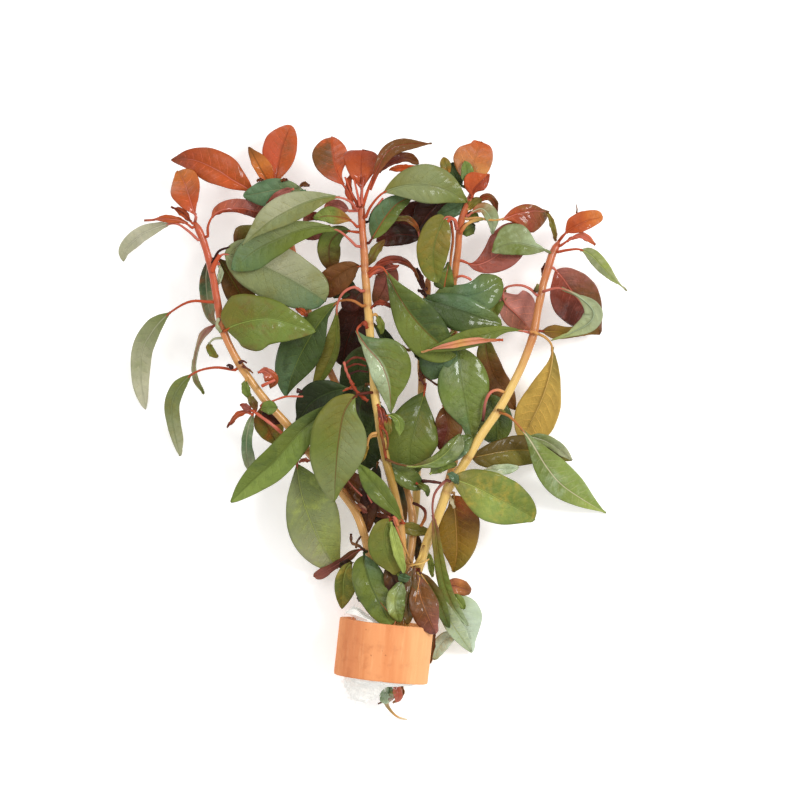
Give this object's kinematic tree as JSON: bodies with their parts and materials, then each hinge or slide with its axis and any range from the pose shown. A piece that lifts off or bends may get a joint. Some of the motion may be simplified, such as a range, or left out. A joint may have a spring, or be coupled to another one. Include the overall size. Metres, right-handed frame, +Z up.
{
  "type": "ludwigia bunch",
  "caption": "Cut ludwigia stems with red and green leaves, packed with white wool into an open clay ring, lying on their side.",
  "frame": {"origin": "middle of the bounding box's foot, on the surface that the bunch lies on", "axes": "+Y from the clay ring towards the stems' growing tips, along the longest extent; +Z up from the surface, along the shortest extent; +X across, to the picture's right"},
  "size_m": [0.1724, 0.2016, 0.0392],
  "materials": {
    "clay": "matte, bare fired clay",
    "wool": "matte, loose white fibre",
    "stem": "smooth, slightly wet",
    "leaf_sage": "smooth, soft sheen, wet in places",
    "leaf_green": "smooth, soft sheen, wet in places",
    "leaf_dark": "smooth, soft sheen",
    "leaf_olive": "smooth, soft sheen",
    "leaf_golden": "smooth, soft sheen",
    "leaf_rust": "smooth, glossy where wet",
    "leaf_wine": "smooth, soft sheen",
    "leaf_mint": "smooth, glossy where wet",
    "root": "smooth"
  },
  "bodies": {
    "root": {"ring": "clay", "wool": "wool", "stem_left": "stem", "stem_rear": "stem", "stem_middle": "stem", "stem_tall": "stem", "stem_inner": "stem", "stem_right": "stem", "leaf_left_tip": "leaf_rust", "leaf_left_far": "leaf_sage", "leaf_left_arch": "leaf_rust", "leaf_left_droop_upper": "leaf_sage", "leaf_left_droop_lower": "leaf_sage", "leaf_left_broad_pale": "leaf_sage", "leaf_left_broad_bright": "leaf_green", "leaf_left_olive": "leaf_olive", "leaf_left_low_sage": "leaf_sage", "leaf_rear_tip": "leaf_rust", "leaf_rear_rust": "leaf_rust", "leaf_rear_blue_green": "leaf_sage", "leaf_middle_sage_upper": "leaf_sage", "leaf_middle_sage_lower": "leaf_sage", "leaf_middle_dark": "leaf_dark", "leaf_middle_folded_olive": "leaf_olive", "leaf_middle_dark_low": "leaf_dark", "leaf_middle_long_left": "leaf_green", "leaf_middle_big_olive": "leaf_sage", "leaf_middle_low_green": "leaf_green", "leaf_middle_tip_brown": "leaf_rust", "leaf_middle_tip_orange": "leaf_rust", "leaf_middle_cap": "leaf_sage", "leaf_middle_red_rib": "leaf_green", "leaf_middle_rust": "leaf_rust", "leaf_middle_long_green": "leaf_green", "leaf_middle_mint_gloss": "leaf_mint", "leaf_tall_tip_rust": "leaf_rust", "leaf_tall_tip_orange": "leaf_rust", "leaf_tall_rust_right": "leaf_rust", "leaf_tall_mauve": "leaf_rust", "leaf_tall_olive": "leaf_olive", "leaf_tall_maroon": "leaf_wine", "leaf_tall_blue_green": "leaf_sage", "leaf_right_glossy_green": "leaf_green", "leaf_inner_green": "leaf_green", "leaf_right_tip": "leaf_rust", "leaf_right_narrow": "leaf_green", "leaf_right_mint": "leaf_mint", "leaf_right_gloss_rust": "leaf_rust", "leaf_right_mauve": "leaf_rust", "leaf_right_red_fold": "leaf_green", "leaf_right_golden": "leaf_golden", "leaf_right_bright": "leaf_green", "leaf_right_olive_strap": "leaf_olive", "leaf_right_round": "leaf_olive", "leaf_right_golden_low": "leaf_golden", "leaf_right_long_strap": "leaf_olive", "leaf_base_folded": "leaf_green", "leaf_base_dark": "leaf_dark", "leaf_base_mint": "leaf_mint", "root": "root"}
  },
  "joints": []
}
